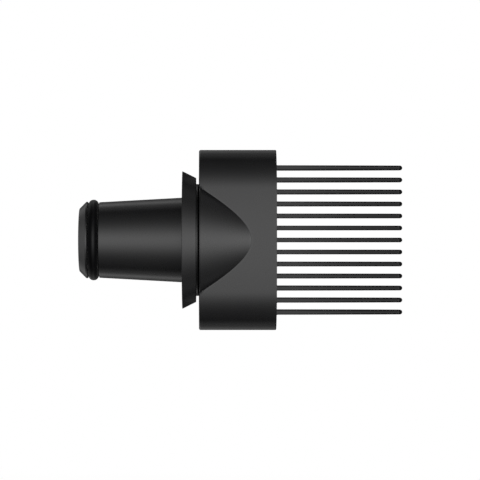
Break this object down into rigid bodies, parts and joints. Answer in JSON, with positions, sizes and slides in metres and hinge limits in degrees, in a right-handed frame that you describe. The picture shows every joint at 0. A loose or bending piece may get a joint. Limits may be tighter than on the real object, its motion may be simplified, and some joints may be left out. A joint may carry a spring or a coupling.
{
  "type": "hair dryer comb attachment",
  "caption": "Comb nozzle for a hot air styler: a tapered spigot with a seal ring and a flared collar feeds an oval head that carries a row of slim teeth across its air slot.",
  "frame": {"origin": "centre of the spigot's open end, where the air enters", "axes": "+X along the spigot's axis from the air inlet to the tips of the teeth, +Z across the width of the head along the row of teeth, +Y through the thickness of the head"},
  "size_m": [0.0967, 0.0408, 0.054],
  "materials": {
    "moulded_plastic": "satin",
    "comb_plastic": "satin",
    "seal_rubber": "satin"
  },
  "bodies": {
    "root": {"spigot": "moulded_plastic", "seal_ring": "seal_rubber", "head_shell": "moulded_plastic", "comb": "comb_plastic"}
  },
  "joints": []
}
